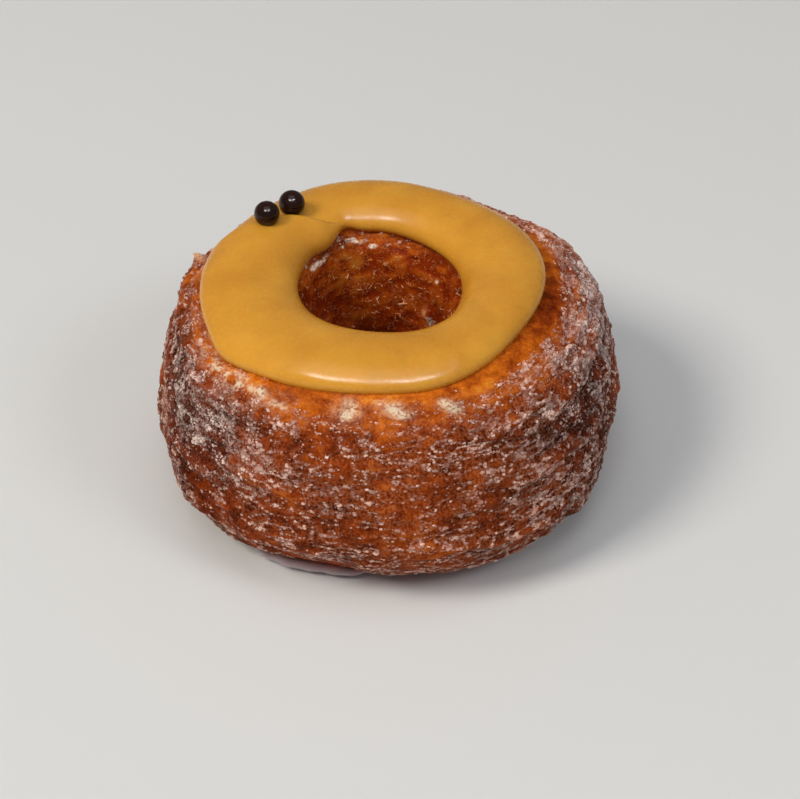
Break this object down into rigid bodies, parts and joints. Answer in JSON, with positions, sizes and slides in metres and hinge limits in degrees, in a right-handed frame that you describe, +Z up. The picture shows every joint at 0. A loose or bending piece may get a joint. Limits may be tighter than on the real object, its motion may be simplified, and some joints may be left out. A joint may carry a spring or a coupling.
{
  "type": "croissant doughnut",
  "caption": "Ring-shaped fried laminated pastry with sugared flaky sides, a smooth ring of piped caramel glaze on its crown and small chocolate pearls set in the glaze.",
  "frame": {"origin": "middle of the outline, on the surface that the pastry stands on", "axes": "+Z up along the hole, -Y towards the front of the pastry, +X to the right of the front"},
  "size_m": [0.0874, 0.0894, 0.052],
  "materials": {
    "crust": "fried golden-brown crust, semi-gloss where bare, coated with granulated sugar",
    "glaze": "smooth glossy caramel glaze",
    "chocolate": "polished dark chocolate"
  },
  "bodies": {
    "root": {"pastry": "crust", "caramel_glaze": "glaze", "chocolate_pearl_right": "chocolate", "chocolate_pearl_left": "chocolate"}
  },
  "joints": []
}
